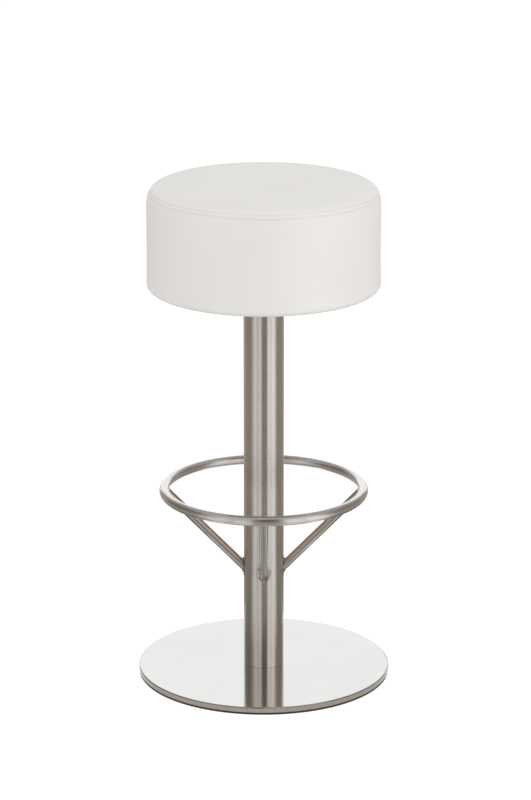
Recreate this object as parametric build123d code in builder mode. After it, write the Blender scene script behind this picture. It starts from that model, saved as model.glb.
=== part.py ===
from build123d import *
import os
from math import cos, degrees, asin, radians, sin

# Bar stool: a round upholstered drum seat that turns on a ball-bearing plate, a tube column with
# a ring footrest welded on four struts, and a weighted disc base standing on a rubber ring.
# Millimetres, +Z up. The origin is the middle of the floor face, and the front is at -Y.

# Main sizes
overall_height = 800.0  # floor to the crown of the seat
base_diameter = 400.0
column_diameter = 63.5
column_wall = 1.5
column_edge_break = 0.5  # chamfer on the foot of the tube

# Base: rubber ring, ballast disc and the sheet cover over it
floor_ring_height = 3.5
floor_ring_width = 22.0
floor_ring_inset = 0.5  # rim of the base to the edge of the rubber
base_edge_height = 8.5  # steel rim above the rubber
base_cover_wall = 1.2
base_rim_radius = 1.6
ballast_clearance = 0.2

# Room round every screw, in a plain hole and in a thread
screw_hole_clearance = 0.3
screw_thread_clearance = 0.1

# Base fastening: M8 screws from below into a plug in the foot of the column
base_screw_diameter = 8.0
base_screw_length = 20.0
base_screw_head_diameter = 14.0
base_screw_head_height = 4.4
base_screw_count = 4
base_screw_circle = 36.0
base_screw_seat_depth = 4.5  # counterbore from the underside of the ballast
base_washer_diameter = 16.0
base_washer_thickness = 1.6
column_plug_thickness = 16.0
column_plug_clearance = 0.1

# Ring footrest
footrest_diameter = 314.6  # centre line of the tube
footrest_tube_diameter = 16.0
footrest_tube_wall = 1.5
footrest_height = 303.0  # floor to the middle of the tube
strut_diameter = 14.0
strut_rise = 45.5  # degrees above level, outwards from the column
strut_weld = 2.0
strut_directions = {"front": 270.0, "right": 0.0, "rear": 90.0, "left": 180.0}

# Swivel: flange on the column, two plates with a ball race between them, and a hollow rivet
flange_thickness = 5.0
flange_weld_leg = 4.0
swivel_plate_thickness = 3.0
ball_diameter = 8.0
ball_count = 20
ball_circle = 76.0
ball_seat_depth = 1.2  # how far a ball reaches into each plate
race_clearance = 0.12
cage_thickness = 1.2
cage_width = 11.0
cage_pocket_clearance = 0.25
rivet_diameter = 20.0
rivet_bore = 15.0
rivet_head_diameter = 28.0
rivet_head_thickness = 2.0
rivet_running_clearance = 0.06
rivet_end_play = 0.3
rivet_head_margin = 3.0  # room round the rivet head in the flange
swivel_screw_spacing = 17.0  # ball circle to screw circle, along a radius
swivel_edge_margin = 15.0  # screw circle to the rim of the plates
driver_hole_diameter = 14.0  # lets a driver reach the seat screws

# M6 fasteners of the swivel
m6_diameter = 6.0
m6_count = 4
m6_first_angle = 45.0
swivel_screw_length = 16.5
swivel_screw_head_diameter = 11.0
countersink_angle = 90.0
countersink_clearance = 0.1
m6_washer_diameter = 12.0
m6_washer_thickness = 1.6
m6_nut_width = 10.0  # across flats
m6_nut_thickness = 5.0
seat_screw_length = 16.0
seat_screw_head_diameter = 10.5
seat_screw_head_height = 3.3
tee_nut_flange_diameter = 19.0
tee_nut_flange_thickness = 1.6
tee_nut_barrel_diameter = 8.0
tee_nut_barrel_length = 9.0
tee_nut_clearance = 0.1

# Seat: board, foam block, sewn cover of a top panel and a side band, dust cover below
seat_diameter = 364.0
seat_thickness = 167.0  # underside of the cover to the crown
seat_crown = 4.0  # rise of the crown above the rim
seat_top_radius = 22.0
seat_bottom_radius = 11.0
seat_cover_thickness = 1.5
seam_angle = 48.0  # degrees above level on the top rounding
seam_groove_angle = 2.8
seam_groove_depth = 0.8
foam_clearance = 0.2
seat_board_thickness = 15.0
seat_board_setback = 3.0  # inside the start of the bottom rounding
seat_board_margin = 6.0  # room round the rivet head in the board
cover_wrap_width = 34.0  # cover folded under the board
dust_cover_thickness = 0.8
dust_cover_overlap = 13.0
dust_cover_margin = 8.0  # plate rim to the dust cover's hole
staple_count = 24
staple_crown = 10.0
staple_wire_width = 1.2
staple_wire_thickness = 0.7
staple_leg = 7.0

# Radii worked out from the sizes above
base_radius = base_diameter / 2
ballast_radius = base_radius - base_cover_wall - ballast_clearance
floor_ring_radius = base_radius - floor_ring_inset
column_radius = column_diameter / 2
column_bore_radius = column_radius - column_wall
footrest_radius = footrest_diameter / 2
footrest_tube_radius = footrest_tube_diameter / 2
ball_radius = ball_diameter / 2
race_radius = ball_circle / 2
swivel_screw_radius = race_radius + swivel_screw_spacing
swivel_plate_radius = swivel_screw_radius + swivel_edge_margin
rivet_radius = rivet_diameter / 2
rivet_head_radius = rivet_head_diameter / 2
m6_hole_radius = m6_diameter / 2 + screw_hole_clearance
m6_thread_radius = m6_diameter / 2 + screw_thread_clearance
base_screw_hole_radius = base_screw_diameter / 2 + screw_hole_clearance
seat_radius = seat_diameter / 2
seat_board_radius = seat_radius - seat_bottom_radius - seat_board_setback
cover_wrap_radius = seat_radius - seat_bottom_radius - cover_wrap_width

# Heights from the floor, up through the base and down from the crown
base_underside = floor_ring_height
base_top = base_underside + base_edge_height
ballast_top = base_top - base_cover_wall
washer_seat = base_underside + base_screw_seat_depth
seat_underside = overall_height - seat_thickness
board_underside = seat_underside + seat_cover_thickness
board_top = board_underside + seat_board_thickness
swivel_gap = ball_diameter - 2 * ball_seat_depth
upper_plate_underside = board_underside - swivel_plate_thickness
lower_plate_top = upper_plate_underside - swivel_gap
lower_plate_underside = lower_plate_top - swivel_plate_thickness
race_height = lower_plate_top + swivel_gap / 2
flange_underside = lower_plate_underside - flange_thickness
seat_rim = overall_height - seat_crown

os.makedirs("parts", exist_ok=True)


def save(builder, name):
    """Label a finished piece and write it under its node's name."""
    builder.part.label = name
    export_step(builder.part, f"parts/{name}.step")


def disc(radius, height, bottom):
    """A round plate in the open part, standing on the height given as its bottom."""
    with BuildSketch(Plane.XY.offset(bottom)) as outline:
        Circle(radius)
    extrude(outline.sketch, amount=height)


def round_holes(radius, circle_radius, count, first_angle, bottom, height):
    """Cut evenly spaced round holes through the open part."""
    with BuildSketch(Plane.XY.offset(bottom)) as outlines:
        with PolarLocations(circle_radius, count, start_angle=first_angle):
            Circle(radius)
    extrude(outlines.sketch, amount=height, mode=Mode.SUBTRACT)


# Floor ring: the rubber that the base stands on
with BuildPart() as floor_ring:
    disc(floor_ring_radius, floor_ring_height, 0)
    with Locations((0, 0, floor_ring_height)):
        Hole(floor_ring_radius - floor_ring_width)
save(floor_ring, "floor_ring")

# Base weight: the ballast disc, counterbored from below for the column screws
with BuildPart() as base_weight:
    disc(ballast_radius, ballast_top - base_underside, base_underside)
    with Locations(Plane.XY.offset(base_underside).rotated((180, 0, 0))):
        with PolarLocations(base_screw_circle / 2, base_screw_count):
            CounterBoreHole(
                base_screw_hole_radius,
                base_washer_diameter / 2 + screw_hole_clearance,
                base_screw_seat_depth,
            )
save(base_weight, "base_weight")

# Base cover: a sheet steel dish over the ballast
with BuildPart() as base_cover:
    disc(base_radius, base_edge_height, base_underside)
    fillet(base_cover.edges().filter_by(GeomType.CIRCLE).sort_by(Axis.Z)[-1], base_rim_radius)
    with BuildSketch(Plane.XY.offset(base_underside)):
        Circle(base_radius - base_cover_wall)
    extrude(amount=base_edge_height - base_cover_wall, mode=Mode.SUBTRACT)
    round_holes(
        base_screw_hole_radius,
        base_screw_circle / 2,
        base_screw_count,
        0,
        ballast_top,
        base_cover_wall,
    )
save(base_cover, "base_cover")

# Base screws: button heads below, shanks up into the column plug
with BuildPart() as base_screws:
    with BuildSketch(Plane.XY.offset(washer_seat - base_washer_thickness)):
        with PolarLocations(base_screw_circle / 2, base_screw_count):
            Circle(base_screw_head_diameter / 2)
    extrude(amount=-base_screw_head_height)
    with BuildSketch(Plane.XY.offset(washer_seat - base_washer_thickness)):
        with PolarLocations(base_screw_circle / 2, base_screw_count):
            Circle(base_screw_diameter / 2)
    extrude(amount=base_screw_length)
save(base_screws, "base_screws")

with BuildPart() as base_washers:
    with BuildSketch(Plane.XY.offset(washer_seat - base_washer_thickness)):
        with PolarLocations(base_screw_circle / 2, base_screw_count):
            Circle(base_washer_diameter / 2)
            Circle(base_screw_hole_radius, mode=Mode.SUBTRACT)
    extrude(amount=base_washer_thickness)
save(base_washers, "base_washers")

# Column plug: the tapped disc in the foot of the tube
with BuildPart() as column_foot_plug:
    disc(column_bore_radius - column_plug_clearance, column_plug_thickness, base_top)
    round_holes(
        base_screw_diameter / 2 + screw_thread_clearance,
        base_screw_circle / 2,
        base_screw_count,
        0,
        base_top,
        column_plug_thickness,
    )
save(column_foot_plug, "column_foot_plug")

# Column: a plain tube from the base cover to the flange
with BuildPart() as column_tube:
    with BuildSketch(Plane.XY.offset(base_top)):
        Circle(column_radius)
        Circle(column_bore_radius, mode=Mode.SUBTRACT)
    extrude(amount=flange_underside - base_top)
    foot_edges = column_tube.edges().filter_by(GeomType.CIRCLE).group_by(Axis.Z)[0]
    chamfer(foot_edges.sort_by(SortBy.RADIUS)[-1], column_edge_break)
save(column_tube, "column_tube")

# Footrest ring: a tube bent into a closed ring
with BuildPart() as footrest_ring:
    with BuildSketch(Plane.XZ):
        with Locations((footrest_radius, footrest_height)):
            Circle(footrest_tube_radius)
            Circle(footrest_tube_radius - footrest_tube_wall, mode=Mode.SUBTRACT)
    revolve(axis=Axis.Z)
save(footrest_ring, "footrest_ring")


def strut_plane(direction):
    """Plane across a strut at the middle of the ring's tube, facing down to the column."""
    outwards = Vector(cos(radians(direction)), sin(radians(direction)), 0)
    slope = Vector(0, 0, sin(radians(strut_rise)))
    origin = outwards * footrest_radius + Vector(0, 0, footrest_height)
    return Plane(origin=origin, z_dir=outwards * -cos(radians(strut_rise)) - slope)


def strut_bar(radius, direction, mode=Mode.ADD):
    """A round bar in the open part, from the ring's tube to the axis of the column."""
    with BuildSketch(strut_plane(direction)) as section:
        Circle(radius)
    extrude(section.sketch, amount=footrest_radius / cos(radians(strut_rise)), mode=mode)


def ring_body(radius, mode):
    """The ring's round section, swollen or not, added to or taken from the open part."""
    with Locations((0, 0, footrest_height)):
        Torus(footrest_radius, radius, mode=mode)


def column_body(radius, mode):
    """A solid round of the column's height, added to or taken from the open part."""
    with BuildSketch(Plane.XY) as section:
        Circle(radius)
    extrude(section.sketch, amount=flange_underside, mode=mode)


# Struts: bars coped to the column at the foot and to the ring at the head
for side, direction in strut_directions.items():
    with BuildPart() as footrest_strut:
        strut_bar(strut_diameter / 2, direction)
        column_body(column_radius, Mode.SUBTRACT)
        ring_body(footrest_tube_radius, Mode.SUBTRACT)
    save(footrest_strut, f"footrest_strut_{side}")

# Strut welds: a collar round each end of every strut
with BuildPart() as strut_foot_welds:
    for direction in strut_directions.values():
        strut_bar(strut_diameter / 2 + strut_weld, direction)
    column_body(column_radius + strut_weld, Mode.INTERSECT)
    column_body(column_radius, Mode.SUBTRACT)
    for direction in strut_directions.values():
        strut_bar(strut_diameter / 2, direction, Mode.SUBTRACT)
save(strut_foot_welds, "strut_foot_welds")

with BuildPart() as strut_head_welds:
    for direction in strut_directions.values():
        strut_bar(strut_diameter / 2 + strut_weld, direction)
    ring_body(footrest_tube_radius + strut_weld, Mode.INTERSECT)
    ring_body(footrest_tube_radius, Mode.SUBTRACT)
    for direction in strut_directions.values():
        strut_bar(strut_diameter / 2, direction, Mode.SUBTRACT)
save(strut_head_welds, "strut_head_welds")

# Flange: the plate welded on top of the column
with BuildPart() as column_flange:
    disc(swivel_plate_radius, flange_thickness, flange_underside)
    with Locations((0, 0, lower_plate_underside)):
        Hole(rivet_head_radius + rivet_head_margin)
    with Locations((swivel_screw_radius, 0, lower_plate_underside)):
        Hole(driver_hole_diameter / 2)
    round_holes(
        m6_hole_radius,
        swivel_screw_radius,
        m6_count,
        m6_first_angle,
        flange_underside,
        flange_thickness,
    )
save(column_flange, "column_flange")

with BuildPart() as flange_weld:
    with BuildSketch(Plane.XZ):
        with BuildLine():
            Polyline(
                (column_radius, flange_underside),
                (column_radius + flange_weld_leg, flange_underside),
                (column_radius, flange_underside - flange_weld_leg),
                close=True,
            )
        make_face()
    revolve(axis=Axis.Z)
save(flange_weld, "flange_weld")

# Swivel plates: the lower one is screwed to the flange, the upper one carries the seat
with BuildPart() as swivel_lower_plate:
    disc(swivel_plate_radius, swivel_plate_thickness, lower_plate_underside)
    with Locations((0, 0, lower_plate_top)):
        Hole(rivet_radius)
    with Locations((swivel_screw_radius, 0, lower_plate_top)):
        Hole(driver_hole_diameter / 2)
    with Locations(Plane.XY.offset(lower_plate_top)):
        with PolarLocations(swivel_screw_radius, m6_count, start_angle=m6_first_angle):
            CounterSinkHole(
                m6_hole_radius,
                swivel_screw_head_diameter / 2 + countersink_clearance,
                counter_sink_angle=countersink_angle,
            )
    with Locations((0, 0, race_height)):
        Torus(race_radius, ball_radius + race_clearance, mode=Mode.SUBTRACT)
save(swivel_lower_plate, "swivel_lower_plate")

with BuildPart() as swivel_upper_plate:
    disc(swivel_plate_radius, swivel_plate_thickness, upper_plate_underside)
    with Locations((0, 0, board_underside)):
        Hole(rivet_radius + rivet_running_clearance)
    round_holes(
        m6_hole_radius,
        swivel_screw_radius,
        m6_count,
        m6_first_angle,
        upper_plate_underside,
        swivel_plate_thickness,
    )
    with Locations((0, 0, race_height)):
        Torus(race_radius, ball_radius + race_clearance, mode=Mode.SUBTRACT)
save(swivel_upper_plate, "swivel_upper_plate")

# Swivel rivet: hollow, staked to the lower plate, with its upper head over the turning plate
with BuildPart() as swivel_rivet:
    upper_head = board_underside + rivet_end_play
    disc(rivet_head_radius, rivet_head_thickness, lower_plate_underside - rivet_head_thickness)
    disc(rivet_radius, upper_head - lower_plate_underside, lower_plate_underside)
    disc(rivet_head_radius, rivet_head_thickness, upper_head)
    with Locations((0, 0, upper_head + rivet_head_thickness)):
        Hole(rivet_bore / 2)
save(swivel_rivet, "swivel_rivet")

with BuildPart() as swivel_balls:
    with Locations((0, 0, race_height)):
        with PolarLocations(race_radius, ball_count):
            Sphere(ball_radius)
save(swivel_balls, "swivel_balls")

with BuildPart() as swivel_cage:
    cage_bottom = race_height - cage_thickness / 2
    disc(race_radius + cage_width / 2, cage_thickness, cage_bottom)
    with Locations((0, 0, cage_bottom + cage_thickness)):
        Hole(race_radius - cage_width / 2)
    round_holes(
        ball_radius + cage_pocket_clearance,
        race_radius,
        ball_count,
        0,
        cage_bottom,
        cage_thickness,
    )
save(swivel_cage, "swivel_cage")

# Swivel fasteners: countersunk screws down through the flange, with washers and nuts below it
with BuildPart() as swivel_screws:
    head_taper = (swivel_screw_head_diameter - m6_diameter) / 2
    with Locations((0, 0, lower_plate_top)):
        with PolarLocations(swivel_screw_radius, m6_count, start_angle=m6_first_angle):
            top = (Align.CENTER, Align.CENTER, Align.MAX)
            Cone(m6_diameter / 2, swivel_screw_head_diameter / 2, head_taper, align=top)
            Cylinder(m6_diameter / 2, swivel_screw_length, align=top)
save(swivel_screws, "swivel_screws")

with BuildPart() as swivel_washers:
    with BuildSketch(Plane.XY.offset(flange_underside)):
        with PolarLocations(swivel_screw_radius, m6_count, start_angle=m6_first_angle):
            Circle(m6_washer_diameter / 2)
            Circle(m6_hole_radius, mode=Mode.SUBTRACT)
    extrude(amount=-m6_washer_thickness)
save(swivel_washers, "swivel_washers")

with BuildPart() as swivel_nuts:
    with BuildSketch(Plane.XY.offset(flange_underside - m6_washer_thickness)):
        with PolarLocations(swivel_screw_radius, m6_count, start_angle=m6_first_angle):
            RegularPolygon(m6_nut_width / 2, 6, major_radius=False)
            Circle(m6_thread_radius, mode=Mode.SUBTRACT)
    extrude(amount=-m6_nut_thickness)
save(swivel_nuts, "swivel_nuts")

# Seat fasteners: screws up through the upper plate into tee nuts let into the board
with BuildPart() as seat_screws:
    with BuildSketch(Plane.XY.offset(upper_plate_underside)):
        with PolarLocations(swivel_screw_radius, m6_count, start_angle=m6_first_angle):
            Circle(seat_screw_head_diameter / 2)
    extrude(amount=-seat_screw_head_height)
    with BuildSketch(Plane.XY.offset(upper_plate_underside)):
        with PolarLocations(swivel_screw_radius, m6_count, start_angle=m6_first_angle):
            Circle(m6_diameter / 2)
    extrude(amount=seat_screw_length)
save(seat_screws, "seat_screws")

with BuildPart() as seat_tee_nuts:
    with BuildSketch(Plane.XY.offset(board_top)):
        with PolarLocations(swivel_screw_radius, m6_count, start_angle=m6_first_angle):
            Circle(tee_nut_flange_diameter / 2)
    extrude(amount=-tee_nut_flange_thickness)
    with BuildSketch(Plane.XY.offset(board_top)):
        with PolarLocations(swivel_screw_radius, m6_count, start_angle=m6_first_angle):
            Circle(tee_nut_barrel_diameter / 2)
    extrude(amount=-tee_nut_flange_thickness - tee_nut_barrel_length)
    round_holes(
        m6_thread_radius,
        swivel_screw_radius,
        m6_count,
        m6_first_angle,
        board_underside,
        seat_board_thickness,
    )
save(seat_tee_nuts, "seat_tee_nuts")

# Seat board: round plywood with a hole over the rivet and counterbores for the tee nuts
with BuildPart() as seat_board:
    disc(seat_board_radius, seat_board_thickness, board_underside)
    with Locations((0, 0, board_top)):
        Hole(rivet_head_radius + seat_board_margin)
    with Locations(Plane.XY.offset(board_top)):
        with PolarLocations(swivel_screw_radius, m6_count, start_angle=m6_first_angle):
            CounterBoreHole(
                tee_nut_barrel_diameter / 2 + tee_nut_clearance,
                tee_nut_flange_diameter / 2 + tee_nut_clearance,
                tee_nut_flange_thickness,
            )
save(seat_board, "seat_board")

# Seat outline, as circles that stay tangent for any depth inside the skin
crown_reach = seat_radius - seat_top_radius
crown_radius = (crown_reach**2 + seat_crown**2) / (2 * seat_crown) + seat_top_radius
crown_angle = degrees(asin(crown_reach / (crown_radius - seat_top_radius)))


def crown_point(depth, angle):
    """Point on the crown at an angle from the axis, at a depth inside the skin."""
    reach = crown_radius - depth
    return (reach * sin(radians(angle)), overall_height - crown_radius + reach * cos(radians(angle)))


def rim_point(depth, angle):
    """Point on the top rounding at an angle above level, at a depth inside the skin."""
    reach = seat_top_radius - depth
    return (
        crown_reach + reach * cos(radians(angle)),
        seat_rim - seat_top_radius + reach * sin(radians(angle)),
    )


def hem_point(depth, angle):
    """Point on the bottom rounding at an angle below level, at a depth inside the skin."""
    reach = seat_bottom_radius - depth
    return (
        seat_radius - seat_bottom_radius + reach * cos(radians(angle)),
        seat_underside + seat_bottom_radius - reach * sin(radians(angle)),
    )


def arc_between(place, depth, start, end):
    """Arc of the seat outline from one angle to another, at a depth inside the skin."""
    ThreePointArc(place(depth, start), place(depth, (start + end) / 2), place(depth, end))


rim_start = 90 - crown_angle
seam_top = seam_angle + seam_groove_angle
seam_bottom = seam_angle - seam_groove_angle
foam_depth = seat_cover_thickness + foam_clearance

# Seat foam: one block over and round the board, with a crowned top
with BuildPart() as seat_foam:
    with BuildSketch(Plane.XZ):
        with BuildLine():
            Polyline(
                crown_point(foam_depth, 0),
                (0, board_top),
                (seat_board_radius + foam_clearance, board_top),
                (seat_board_radius + foam_clearance, seat_underside + foam_depth),
                hem_point(foam_depth, 90),
            )
            arc_between(hem_point, foam_depth, 90, 0)
            Line(hem_point(foam_depth, 0), rim_point(foam_depth, 0))
            arc_between(rim_point, foam_depth, 0, rim_start)
            arc_between(crown_point, foam_depth, crown_angle, 0)
        make_face()
    revolve(axis=Axis.Z)
save(seat_foam, "seat_foam")

# Cover: the crowned top panel and the side band meet in a sunk seam on the top rounding
with BuildPart() as cover_top_panel:
    with BuildSketch(Plane.XZ):
        with BuildLine():
            arc_between(crown_point, 0, 0, crown_angle)
            arc_between(rim_point, 0, rim_start, seam_top)
            Polyline(
                rim_point(0, seam_top),
                rim_point(seam_groove_depth, seam_angle),
                rim_point(seat_cover_thickness, seam_angle),
            )
            arc_between(rim_point, seat_cover_thickness, seam_angle, rim_start)
            arc_between(crown_point, seat_cover_thickness, crown_angle, 0)
            Line(crown_point(seat_cover_thickness, 0), crown_point(0, 0))
        make_face()
    revolve(axis=Axis.Z)
save(cover_top_panel, "cover_top_panel")

with BuildPart() as cover_side_band:
    with BuildSketch(Plane.XZ):
        with BuildLine():
            arc_between(rim_point, 0, seam_bottom, 0)
            Line(rim_point(0, 0), hem_point(0, 0))
            arc_between(hem_point, 0, 0, 90)
            Polyline(
                hem_point(0, 90),
                (cover_wrap_radius, seat_underside),
                (cover_wrap_radius, board_underside),
                hem_point(seat_cover_thickness, 90),
            )
            arc_between(hem_point, seat_cover_thickness, 90, 0)
            Line(hem_point(seat_cover_thickness, 0), rim_point(seat_cover_thickness, 0))
            arc_between(rim_point, seat_cover_thickness, 0, seam_angle)
            Polyline(
                rim_point(seat_cover_thickness, seam_angle),
                rim_point(seam_groove_depth, seam_angle),
                rim_point(0, seam_bottom),
            )
        make_face()
    revolve(axis=Axis.Z)
save(cover_side_band, "cover_side_band")

# Dust cover: thin cloth under the board, stapled over the folded edge of the side band
with BuildPart() as dust_cover:
    with BuildSketch(Plane.XY.offset(seat_underside)):
        Circle(cover_wrap_radius + dust_cover_overlap)
        Circle(swivel_plate_radius + dust_cover_margin, mode=Mode.SUBTRACT)
    extrude(amount=-dust_cover_thickness)
save(dust_cover, "dust_cover")

with BuildPart() as staples:
    staple_back = seat_underside - dust_cover_thickness
    staple_circle = cover_wrap_radius + dust_cover_overlap / 2
    staple_foot = (staple_crown - staple_wire_thickness) / 2
    with BuildSketch(Plane.XY.offset(staple_back)):
        with PolarLocations(staple_circle, staple_count):
            Rectangle(staple_wire_width, staple_crown)
    extrude(amount=-staple_wire_thickness)
    with BuildSketch(Plane.XY.offset(staple_back)):
        with PolarLocations(staple_circle, staple_count):
            with Locations((0, -staple_foot), (0, staple_foot)):
                Rectangle(staple_wire_width, staple_wire_thickness)
    extrude(amount=staple_leg)
save(staples, "staples")
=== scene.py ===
import math

import bpy
import numpy as np
from mathutils import Matrix, Vector, noise


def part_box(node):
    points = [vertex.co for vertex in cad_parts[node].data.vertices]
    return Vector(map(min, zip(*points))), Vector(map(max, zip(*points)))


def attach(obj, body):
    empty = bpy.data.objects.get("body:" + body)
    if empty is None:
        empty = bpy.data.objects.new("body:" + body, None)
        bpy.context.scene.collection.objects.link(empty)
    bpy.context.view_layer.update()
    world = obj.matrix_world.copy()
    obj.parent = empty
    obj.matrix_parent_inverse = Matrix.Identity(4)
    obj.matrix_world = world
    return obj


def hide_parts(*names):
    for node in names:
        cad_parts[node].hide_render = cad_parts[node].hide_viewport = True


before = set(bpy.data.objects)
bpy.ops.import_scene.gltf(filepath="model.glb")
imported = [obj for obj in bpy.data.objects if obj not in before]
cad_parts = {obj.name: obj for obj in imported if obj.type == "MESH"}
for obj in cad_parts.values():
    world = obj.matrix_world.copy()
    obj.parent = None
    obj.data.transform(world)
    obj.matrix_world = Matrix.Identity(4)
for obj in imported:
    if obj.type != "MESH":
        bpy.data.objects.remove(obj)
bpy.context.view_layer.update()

# The looks of a bar stool, built round its solids: a sewn leatherette drum seat, brushed steel
# tubes with weld beads, and a polished steel disc base. Metres, +Z up, front at -Y.

# Sizes read from the frame
COLUMN_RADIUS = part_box("column_tube")[1].x
RING_LOW, RING_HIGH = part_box("footrest_ring")
RING_HEIGHT = (RING_LOW.z + RING_HIGH.z) / 2
RING_TUBE_RADIUS = (RING_HIGH.z - RING_LOW.z) / 2
RING_RADIUS = RING_HIGH.x - RING_TUBE_RADIUS
STRUT_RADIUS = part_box("footrest_strut_front")[1].x
SEAT_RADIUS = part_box("cover_side_band")[1].x
SEAT_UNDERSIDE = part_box("cover_side_band")[0].z
SEAT_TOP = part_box("cover_top_panel")[1].z
BOARD_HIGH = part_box("seat_board")[1]
DUST_LOW, DUST_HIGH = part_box("dust_cover")

# Struts: they rise outwards from the column to the ring at quarter turns
STRUT_RISE = math.radians(45.5)
STRUT_DIRECTIONS = {"front": 270, "right": 0, "rear": 90, "left": 180}
STRUT_FOOT_HEIGHT = RING_HEIGHT - (RING_RADIUS - COLUMN_RADIUS) * math.tan(STRUT_RISE)

# Seat cover: a low crown that falls away to the seam, and a side drawn in towards it
COVER_THICKNESS = 0.0015
COVER_WRAP_RADIUS = 0.137  # the edge of the cover folded under the board
BACK = math.pi / 2  # where round the seat the band's upright seam lies
SEAM_RADIUS = 0.1757
SEAM_DROP = 0.0091  # crown to seam
CROWN_FALL = 0.0005  # the even part of that drop
EDGE_POWER = 20  # how suddenly the rest of it comes, at the edge
DRAW_HEIGHT = 0.041  # seam down to where the side runs straight
DRAW_EVEN = 0.2  # share of the drawing in that comes evenly, the rest near the seam
BOTTOM_ROUNDING = 0.0095
SEAM_HEIGHT = SEAT_TOP - SEAM_DROP
HEM_HEIGHT = SEAT_UNDERSIDE + BOTTOM_ROUNDING
HEM_REACH = SEAT_RADIUS - BOTTOM_ROUNDING

# The seam and the cover beside it
SEAM_HALF_WIDTH = 0.00032
SEAM_DEPTH = 0.0009
SEAM_LIP = ((0.5, 0.10), (0.2, 0.45), (0.1, 1.0))  # shares of the half width and of the depth
VALLEY_DEPTH = 0.0006  # the cover dips towards the seam
VALLEY_WIDTH = 0.0050
SEAM_HOLD = 0.004  # so near the seam both edges move as one
SEAM_SINK = 0.0040  # the sewing strays from level: down on the right
SINK_SPREAD = 0.55  # radians
SEAM_LIFT = 0.0015  # and up to the left of the front
LIFT_PLACE = -2.0  # radians from the right
LIFT_SPREAD = 0.4
STRAY_WIDTH = 0.018  # how far from the seam the cover slides with it
PUCKER_HEIGHT = 0.00012  # small puckers near the seam
PUCKER_FALLOFF = 0.006
PUCKER_WAVES = 16  # noise round the seat
PUCKER_DRIFT = 60  # and away from the seam
UNEVEN_HEIGHT = 0.0002  # broad unevenness all over
UNEVEN_WAVES = 22

# Points of the cover before its subdivision, and its swelling
COLUMNS = 192  # round the seat
CROWN_SHARE = 0.86  # of the panel's radius under an even grid
EDGE_ROWS = 14  # from that grid to the seam
SEWN_EDGE_ROWS = 2  # of these, held by the seam
SEWN_ROWS = 12  # down the band: seam to below the stitches,
DRAW_ROWS, SIDE_ROWS, HEM_ROWS, WRAP_ROWS = 14, 22, 7, 6  # and on from there to its folded edge
PANEL_SWELL = 0.0018  # how far the simulation may move the cover
BAND_SWELL = 0.0010

# Foam
FOAM_DEPTH = 0.0045  # foam below the outside of the cover
FOAM_TOP_ROWS = 16
BOARD_SIDE_GAP = 0.0004
BOARD_TOP_GAP = 0.0002

# Stitches and needle holes
STITCH_DROP = 0.0062  # seam to stitch row, in height
STITCH_HEIGHT = SEAM_HEIGHT - STITCH_DROP
STITCH_PITCH = 0.0064
STITCH_LENGTH = 0.0048
STITCH_THICKNESS = 0.0008
STITCH_STAND = 0.42  # how far its middle stands out, in thicknesses
STITCH_DIVE = 0.75  # how far its ends lie below that
STITCH_END = 0.08  # share of its section that is left at the ends
STITCH_DIP = 0.00015  # how far the thread pulls the cover in
STITCH_DIP_WIDTH = 0.0013
BACK_ROW_START = 2  # the upright row starts this many stitches down
HOLE_RADIUS = 0.00058  # needle hole between two stitches
HOLE_HEIGHT = 0.00025
HOLE_STRETCH = 1.2  # along the row

# Dust cover
DUST_WIDTH = 0.072  # edge to hole
DUST_THICKNESS = 0.0007
DUST_ROWS, DUST_COLUMNS = 12, 144
DUST_SLACK = 0.0008  # how far it hangs at its hole
DUST_WAVE = 0.0011  # more or less than that
DUST_WAVES, DUST_DRIFT = 2.6, 1.7  # noise round the hole and outwards
DUST_TIGHTENING = 0.7  # how the slack ends towards the staples

# Weld beads: how far their middle lies from the strut's side, their radius, and their flatness
FOOT_BEAD = 0.0024, 0.0027, 0.22  # the wide pass on the column
CORNER_BEAD = 0.0004, 0.0014, 0.8  # the pass in the corner
CORNER_LIFT = 0.0022  # how far that one lies up the strut
HEAD_BEAD = 0.0002, 0.0011, 0.6
HEAD_SEARCH = 0.03  # the ring's surface is nearer its middle than this
HEAD_HALVINGS = 40
BEAD_STEPS, BEAD_SIDES, BEAD_RIPPLES = 132, 10, 19
BEAD_BODY = 0.9  # share of the radius before the ripples
BEAD_LEAN = 0.3  # how far the ripples bow along the bead, in radii
RIPPLE_HEIGHT = 0.55
RIPPLE_LEVEL = 0.4  # how much of a ripple stands above the body
RIPPLE_PEAK = 0.35  # where its crest lies along it
BEAD_UNEVEN = 0.25
PASS_SEED = 5  # more than there are struts
FOOT_RIPPLE, HEAD_RIPPLE = 1.0, 0.25  # rough at the column, ground at the ring
BEAD_NOISE = Vector((0.21, 7.3, 0.5))  # its steps along a bead and from bead to bead

UP = Vector((0, 0, 1))

# Photograph and camera
PHOTO_LONG_SIDE = 800
FOCAL_PIXELS = 3320
SENSOR = 36.0
CAMERA_PLACE = Vector((0.0028, -5.000, 1.947))
CAMERA_PITCH = math.radians(16.66)
CAMERA_REACH = 100


# Mesh helpers

def new_piece(name, points, faces, material):
    """A smooth mesh object in the shared frame, with one material."""
    mesh = bpy.data.meshes.new(name)
    mesh.from_pydata([tuple(p) for p in points], [], faces)
    mesh.validate()
    mesh.polygons.foreach_set("use_smooth", [True] * len(mesh.polygons))
    mesh.materials.append(material)
    piece = bpy.data.objects.new(name, mesh)
    bpy.context.scene.collection.objects.link(piece)
    return piece


def grid_faces(rows, columns, closed_rows=False, closed_columns=False, first=0):
    """Quads of a grid whose points are stored row by row."""
    faces = []
    for row in range(rows if closed_rows else rows - 1):
        here = first + row * columns
        below = first + (row + 1) % rows * columns
        for column in range(columns if closed_columns else columns - 1):
            beside = (column + 1) % columns
            faces.append((here + column, here + beside, below + beside, below + column))
    return faces


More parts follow.
